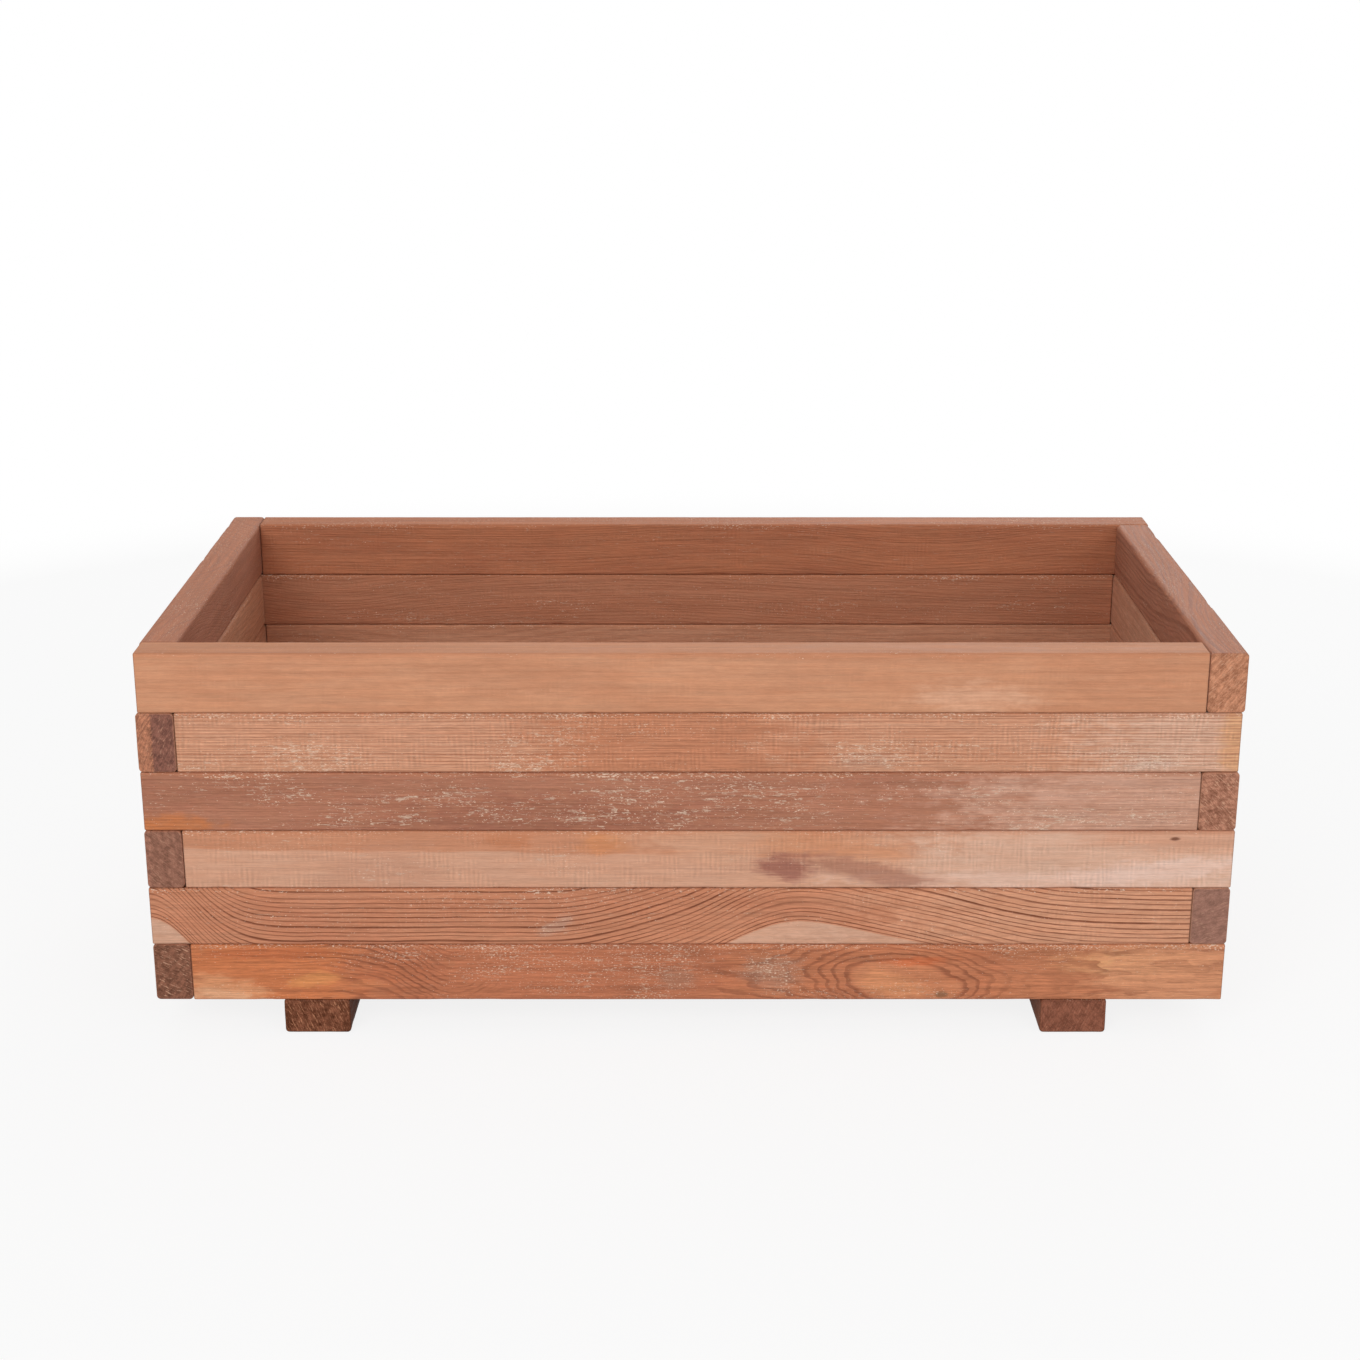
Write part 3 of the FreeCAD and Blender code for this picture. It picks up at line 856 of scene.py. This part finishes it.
# The six front battens, from the rim down
FRONT_GRAIN = (
    dict(across=20.0, height=-130.0, spacing=6.5, waver=12.0),
    dict(across=12.0, height=-190.0, spacing=2.3, waver=2.5, late_share=0.6, fray=0.6, fade=0.15),
    dict(across=-40.0, height=-150.0, spacing=2.6, fleck_size=1.4),
    dict(across=-30.0, height=-170.0, spacing=3.4, waver=5.0, fleck_size=1.5),
    dict(
        across=-8.0, height=-76.0, spacing=3.8, waver=1.6, late_share=0.4, fray=0.6, fade=0.3, heart=37.6,
        spread_1=44.0, rise_1=61.0,
        place_2=466.0, spread_2=64.0, rise_2=32.5,
        place_3=552.0, spread_3=88.0, rise_3=26.0,
        plateau=345.0, plateau_spread=50.0, plateau_rise=14.0,
    ),
    dict(
        across=-41.0, height=-10.0, spacing=3.5, ripple=7.0, late_share=0.5,
        fray=1.6, fade=0.25, heart=22.0,
        place_1=200.0, spread_1=46.0, rise_1=-36.0,
        place_2=533.0, spread_2=60.0, rise_2=2.0, depth_2=29.0,
        place_3=565.0, spread_3=72.0, rise_3=-15.0,
        plateau=250.0, plateau_rise=34.0,
    ),
)
FRONT_LOOKS = (
    dict(
        light=(208, 151, 117), ring=(184, 124, 92), ring_share=0.25, tint=(193, 135, 103),
        fleck_level=0.74, dash_share=0.1, grit_level=0.78, saw_share=0.02, fibre_share=0.05,
        fine_share=0.14, line_share=0.04,
        spots=(((218, 168, 138), 0.75, 606, 12, 46, 13),),
    ),
    dict(
        light=(212, 158, 128), ring=(166, 106, 78), ring_share=0.8, tint=(204, 148, 117),
        fibre_share=0.13, fine_share=0.32, saw_share=0.1, saw_level=0.44,
        fleck=(226, 196, 172), fleck_level=0.615, grit_level=0.655,
        spots=(
            ((194, 129, 96), 0.85, 356, 20, 112, 90), ((220, 181, 158), 0.88, 760, 22, 110, 90),
            ((188, 152, 132), 0.45, 500, 9, 26, 6), ((200, 174, 160), 0.5, 704, 6, 20, 5),
            ((224, 166, 112), 0.6, 768, 24, 13, 40),
        ),
        wear=((265, 16, 40, 18, 0.09), (500, 12, 36, 12, 0.1), (90, 14, 60, 12, 0.07),
              (700, 10, 40, 12, 0.09)),
    ),
    dict(
        light=(176, 120, 96), ring=(140, 86, 66), ring_share=0.35, tint=(164, 108, 86),
        fleck=(212, 184, 162), fleck_share=0.8, fleck_level=0.635, grit_level=0.67,
        dash_share=0.4, dash_level=0.65, fibre_share=0.11, fine_share=0.3, saw_share=0.03,
        spots=(
            ((206, 161, 139), 0.87, 750, 22, 170, 90), ((154, 99, 79), 0.7, 290, 10, 120, 18),
            ((200, 122, 72), 0.8, 16, 4, 42, 9),
        ),
        wear=((400, 22, 130, 40, 0.05), (150, 20, 70, 20, 0.02), (600, 20, 70, 14, 0.02),
              (700, 12, 70, 9, 0.08), (40, 30, 60, 30, -0.05)),
    ),
    dict(
        light=(211, 163, 136), ring=(180, 128, 102), ring_share=0.2, tint=(204, 155, 129),
        fleck=(212, 186, 166), fleck_level=0.68, saw_share=0.08,
        saw_level=0.46, mottle_share=0.1, fine_share=0.18, line_share=0.03, fibre_share=0.07,
        band=(31.5, 0.014, (198, 138, 106), 0.92),
        spots=(
            ((217, 178, 155), 0.9, 690, 20, 200, 60), ((224, 188, 169), 0.75, 640, 6, 170, 9),
            ((230, 197, 181), 0.85, 715, 14, 75, 9, 0.1), ((210, 140, 92), 0.65, 310, 36, 20, 10),
            ((192, 124, 86), 0.55, 238, 38, 18, 8), ((213, 164, 135), 0.8, 390, 36, 70, 15),
            ((194, 144, 119), 0.5, 145, 10, 50, 24), ((210, 149, 113), 0.8, 478, 33, 60, 13, -0.12),
            # The dark wedge at 506 mm, the second spot on the next line, is a painted shadow
            ((158, 102, 88), 0.9, 443, 17, 23, 13), ((174, 124, 103), 0.85, 506, 12, 46, 11, -0.25),
            ((209, 156, 128), 0.75, 735, 40, 80, 12), ((98, 54, 38), 0.85, 727, 39, 3.9, 1.6),
        ),
        wear=((170, 18, 36, 14, 0.08), (280, 20, 30, 12, 0.06), (170, 36, 120, 8, 0.05),
              (560, 34, 60, 8, 0.05)),
    ),
    dict(
        light=(203, 139, 107), ring=(112, 60, 40), ring_share=0.95, tint=(190, 124, 94),
        heart=(212, 172, 148), heart_share=0.8, fleck_level=0.68, fibre_share=0.09,
        spots=(
            ((218, 161, 129), 0.8, 700, 22, 170, 90), ((196, 164, 146), 0.5, 300, 15, 13, 6, 0.4),
        ),
        wear=((300, 14, 20, 10, 0.06), (240, 38, 120, 8, 0.03)),
    ),
    dict(
        light=(194, 123, 88), ring=(128, 74, 53), ring_share=0.82, tint=(180, 111, 81),
        heart=(204, 136, 98), heart_share=0.6, fleck_level=0.65, grit_level=0.66,
        fibre_share=0.19, streak_share=0.1, fine_share=0.34, saw_share=0.02,
        spots=(
            ((206, 124, 78), 0.75, 50, 22, 110, 70), ((180, 110, 80), 0.7, 155, 22, 44, 70),
            ((238, 182, 130), 0.9, 700, 30, 56, 12), ((218, 156, 118), 0.75, 735, 22, 66, 70),
        ),
        covers=(
            ((200, 121, 78), 0.65, 42, 22, 60, 70), ((222, 152, 94), 0.6, 92, 17, 20, 6, 0.1),
            ((206, 132, 88), 0.4, 132, 13, 15, 4), ((220, 158, 116), 0.7, 24, 9, 36, 11, -0.15),
            ((226, 178, 142), 0.5, 20, 4, 26, 6, -0.1), ((184, 102, 66), 0.5, 60, 38, 50, 5),
            ((204, 108, 66), 0.6, 541, 32, 22, 3.6), ((218, 150, 106), 0.6, 524, 14, 30, 10, -0.15),
            ((190, 124, 89), 0.6, 640, 22, 42, 70), ((186, 116, 84), 0.92, 256, 22, 72, 70),
            ((180, 112, 82), 0.7, 345, 22, 60, 70), ((170, 132, 112), 0.45, 434, 22, 24, 15),
            ((160, 124, 104), 0.4, 362, 18, 14, 9), ((124, 92, 68), 0.7, 562, 5, 5, 3),
            ((206, 143, 106), 0.65, 735, 20, 56, 26),
        ),
        wear=((434, 22, 26, 16, 0.12), (340, 20, 60, 20, 0.09), (300, 38, 200, 8, 0.06),
              (250, 22, 50, 20, 0.05)),
    ),
)

# Tones for the timbers that the front doesn't show
TONES = (
    dict(light=(204, 150, 120), ring=(168, 110, 82), tint=(192, 134, 104)),
    dict(light=(190, 130, 100), ring=(142, 84, 61), tint=(176, 116, 88)),
    dict(light=(176, 120, 97), ring=(138, 86, 66), tint=(160, 106, 84)),
    dict(light=(206, 156, 129), ring=(176, 122, 96), tint=(196, 144, 118)),
    dict(light=(188, 122, 89), ring=(140, 84, 60), tint=(170, 106, 79)),
)
END_TONE = (164, 114, 92)
END_DARK_TONE = (114, 75, 59)
# End grain that shows at the front, at the right in odd courses and at the left in even ones
END_KEYS = ("end", "end_dark", "stroke_share", "end_band")
FRONT_ENDS = (
    ((224, 158, 123), (150, 98, 72), 0.6, None),
    ((162, 109, 92), (98, 63, 54), 0.35, (17.0, 1.0, (218, 146, 112), 0.95)),
    ((208, 148, 121), (126, 80, 61), 0.8, None),
    ((174, 123, 102), (117, 78, 63), 0.35, (24.0, 1.5, (196, 136, 114), 0.7)),
    ((174, 127, 110), (132, 95, 81), 0.3, None),
    ((166, 113, 90), (92, 57, 42), 0.75, None),
)
# Which way it is hatched in two courses, in radians
END_TURNS = {1: 2.36, 3: 0.79}


def random_grain(rng):
    """A plain-sawn or quarter-sawn layout for a timber that has none of its own."""
    grain = dict(
        across=rng.uniform(-60.0, 60.0),
        height=rng.choice((-1, 1)) * rng.uniform(20.0, 130.0) + 20.0,
        spacing=rng.uniform(2.4, 5.0),
        waver=rng.uniform(3.0, 8.0),
        late_share=rng.uniform(0.4, 0.6),
        end_turn=rng.uniform(0.0, 3.1),
        height_drift=rng.uniform(-0.03, 0.03),
    )
    for number in SWELLS:
        grain[f"place_{number}"] = rng.uniform(40.0, 720.0)
        grain[f"spread_{number}"] = rng.uniform(60.0, 130.0)
        grain[f"rise_{number}"] = rng.uniform(-22.0, 22.0)
        grain[f"depth_{number}"] = rng.uniform(-12.0, 12.0)
    return grain


def random_look(rng):
    """A look for a timber that has none of its own."""
    end = rng.uniform(0.85, 1.15)
    return dict(
        rng.choice(TONES),
        ring_share=rng.uniform(0.35, 0.75),
        fleck_level=rng.uniform(0.64, 0.7),
        grit_level=rng.uniform(0.69, 0.74),
        saw_share=rng.uniform(0.03, 0.09),
        end=[end * part for part in END_TONE],
        end_dark=[end * part for part in END_DARK_TONE],
    )


# How worn each kind of timber is: radius of its arrises, ease of its ends, roughness
LONG_WEAR = (1.6, 1.1, 1.0)
SIDE_WEAR = (3.2, 1.1, 1.0)
FOOT_WEAR = (3.0, 1.6, 2.0)
FLOOR_WEAR = (1.8, 0.9, 1.2)
# How much shorter the timbers are than their CAD nodes, at their first and last end, in millimetres
MOST_TRIM = 0.6
FRONT_TRIMS = ((2.0, 0.1), (0.1, 1.6), (0.8, 0.1), (0.1, 0.3), (0.3, 0.1), (0.1, 0.8))
# The same for ends that show at the front: the least in flush courses, and at random in the others
FRONT_END_TRIMS = (0.2, 0.9)
FLUSH_COURSES = (1, 2)


def dress_battens():
    """The 24 battens: the front ones one by one, and the others at random."""
    seed = 1
    for course in range(1, COURSES + 1):
        row = course - 1
        showing = "right" if course % 2 else "left"
        for side in ("front", "right", "back", "left"):
            rng = random.Random(seed)
            trims = (rng.uniform(0.0, MOST_TRIM), rng.uniform(0.0, MOST_TRIM))
            if side == "front":
                grain, look, trims = FRONT_GRAIN[row], FRONT_LOOKS[row], FRONT_TRIMS[row]
            else:
                grain = random_grain(rng)
                look = random_look(rng)
            if side == showing:
                grain["end_turn"] = END_TURNS.get(course, grain["end_turn"])
                look.update(zip(END_KEYS, FRONT_ENDS[row]))
                flush = course in FLUSH_COURSES
                trims = (FRONT_END_TRIMS[0] if flush else rng.uniform(*FRONT_END_TRIMS), trims[1])
            wear = LONG_WEAR if side in ("front", "back") else SIDE_WEAR
            add_timber(f"course_{course}_{side}_batten", wear, seed, grain, look, trims)
            seed += 1


FOOT_LOOK = dict(
    # edge: painted shade mixed with dirt over the arrises
    # top: painted light along the upper arris
    top=(120, 76, 58), edge=(92, 54, 40), mottle=(104, 62, 46), fleck=(150, 104, 82),
    fleck_share=0.35, saw_share=0.16, saw_level=0.4, shine=0.03,
)
FOOT_LOOKS = dict(
    left_foot=dict(
        FOOT_LOOK, light=(100, 57, 36), tint=(86, 50, 33), ring=(74, 42, 28), stroke_share=0.75,
        end=(160, 103, 78), end_dark=(80, 44, 28), end_light=(196, 138, 104),
    ),
    right_foot=dict(
        FOOT_LOOK, light=(140, 90, 67), tint=(120, 75, 56), ring=(92, 54, 39),
        end=(163, 105, 83), end_dark=(115, 71, 55), end_light=(182, 124, 100),
    ),
)
FLOOR_LOOK = dict(light=(178, 126, 98), tint=(160, 110, 85), ring=(126, 80, 60))
FLOOR_LOOKS = {f"floor_board_{number}": FLOOR_LOOK for number in "1234"}
BELOW = (
    # slot, wear, first seed, looks
    ("foot_wood", FOOT_WEAR, 60, FOOT_LOOKS),
    ("floor_wood", FLOOR_WEAR, 81, FLOOR_LOOKS),
)


def dress_below():
    """The two dark, rough feet, and the floor boards."""
    for slot, wear, first_seed, looks in BELOW:
        for seed, (node, own) in enumerate(looks.items(), first_seed):
            rng = random.Random(seed)
            look = {**random_look(rng), **own}
            add_timber(node, wear, seed, random_grain(rng), look)


def dress_screws():
    """The screws, which keep their CAD shapes."""
    material = steel()
    for node in SCREW_NODES.values():
        node.data.materials.clear()
        node.data.materials.append(material)


# The studio floor, in metres: it fades to white away from the box, and keeps its full shade under it
FLOOR_RADIUS = 4.0
FLOOR_SIDES = 96
FLOOR_GREY = (0.86, 0.86, 0.86, 1.0)
FADE_PLACES = (0.6, 1.6)
LEAST_FADE = 0.85
SHADE_HALF_LENGTHS = (0.385, 0.4)
SHADE_HALF_DEPTHS = (0.14, 0.17)
SHADE_MIDDLE = 0.04


def add_floor():
    """A pale studio floor that fades to white."""
    mesh = bpy.data.meshes.new("studio_floor")
    turns = [2 * math.pi * k / FLOOR_SIDES for k in range(FLOOR_SIDES)]
    rim = [(FLOOR_RADIUS * math.cos(turn), FLOOR_RADIUS * math.sin(turn), 0.0) for turn in turns]
    mesh.from_pydata(rim, [], [tuple(range(FLOOR_SIDES))])
    floor = add_object("studio_floor", mesh)
    material, tree = new_material("studio_floor")
    place = tree.place()
    away = tree.node("ShaderNodeVectorMath", {0: place}, operation="LENGTH")
    fade = tree.math("MAXIMUM", tree.step(tree.out(away, "Value"), *FADE_PLACES), LEAST_FADE)
    x, y, _ = tree.split(place)
    beside = tree.step(tree.math("ABSOLUTE", x), *SHADE_HALF_LENGTHS)
    before = tree.step(tree.math("ABSOLUTE", y - SHADE_MIDDLE), *SHADE_HALF_DEPTHS)
    fade = fade * tree.math("MAXIMUM", beside, before)
    matt = tree.node("ShaderNodeBsdfDiffuse", {"Color": FLOOR_GREY})
    white = tree.node("ShaderNodeEmission", {"Color": WHITE, "Strength": 1.0})
    inputs = {0: tree.seen() * fade, 1: tree.out(matt), 2: tree.out(white)}
    tree.surface(tree.node("ShaderNodeMixShader", inputs))
    mesh.materials.append(material)


WORLD_LEVEL = 0.51
LAMPS = (
    # name, place, size in metres, power in watts
    ("key_light", (-1.3, -3.0, 2.1), 2.2, 47.0),
    ("fill_light", (1.9, -2.6, 1.4), 2.0, 18.0),
    ("back_light", (0.9, 3.2, 1.9), 2.2, 34.0),
)
LAMP_AIM = Vector((0.0, 0.0, 0.15))


def add_light():
    """White surroundings, two large soft lamps in front and one behind."""
    world = bpy.data.worlds.new("studio")
    bpy.context.scene.world = world
    world.use_nodes = True
    world.node_tree.nodes.clear()
    tree = Tree(world.node_tree)
    level = tree.seen() * (1.0 - WORLD_LEVEL) + WORLD_LEVEL
    white = tree.node("ShaderNodeBackground", {"Color": WHITE, "Strength": level})
    tree.surface(white, "ShaderNodeOutputWorld")
    for name, place, size, power in LAMPS:
        light = bpy.data.lights.new(name, "AREA")
        light.shape = "DISK"
        light.size = size
        light.energy = power
        lamp = add_object(name, light)
        lamp.location = place
        lamp.rotation_euler = (LAMP_AIM - Vector(place)).to_track_quat("-Z", "Y").to_euler()


# The camera that was fitted to the photograph: metres, degrees downwards and millimetres
CAMERA_PLACE = (-0.007, -1.756, 0.7912)
CAMERA_PITCH = 18.157
CAMERA_LENS = 60.517
CAMERA_SENSOR = 36.0


def add_camera():
    """The camera, level and looking down at the front."""
    data = bpy.data.cameras.new("photo_camera")
    data.lens = CAMERA_LENS
    data.sensor_width = CAMERA_SENSOR
    camera = add_object("photo_camera", data)
    camera.location = CAMERA_PLACE
    camera.rotation_euler = (math.radians(90.0 - CAMERA_PITCH), 0.0, 0.0)
    bpy.context.scene.camera = camera


def main():
    """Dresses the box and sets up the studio."""
    dress_battens()
    dress_below()
    dress_screws()
    add_floor()
    add_light()
    add_camera()
    bpy.context.scene.view_settings.view_transform = "Standard"
    bpy.context.view_layer.update()


main()
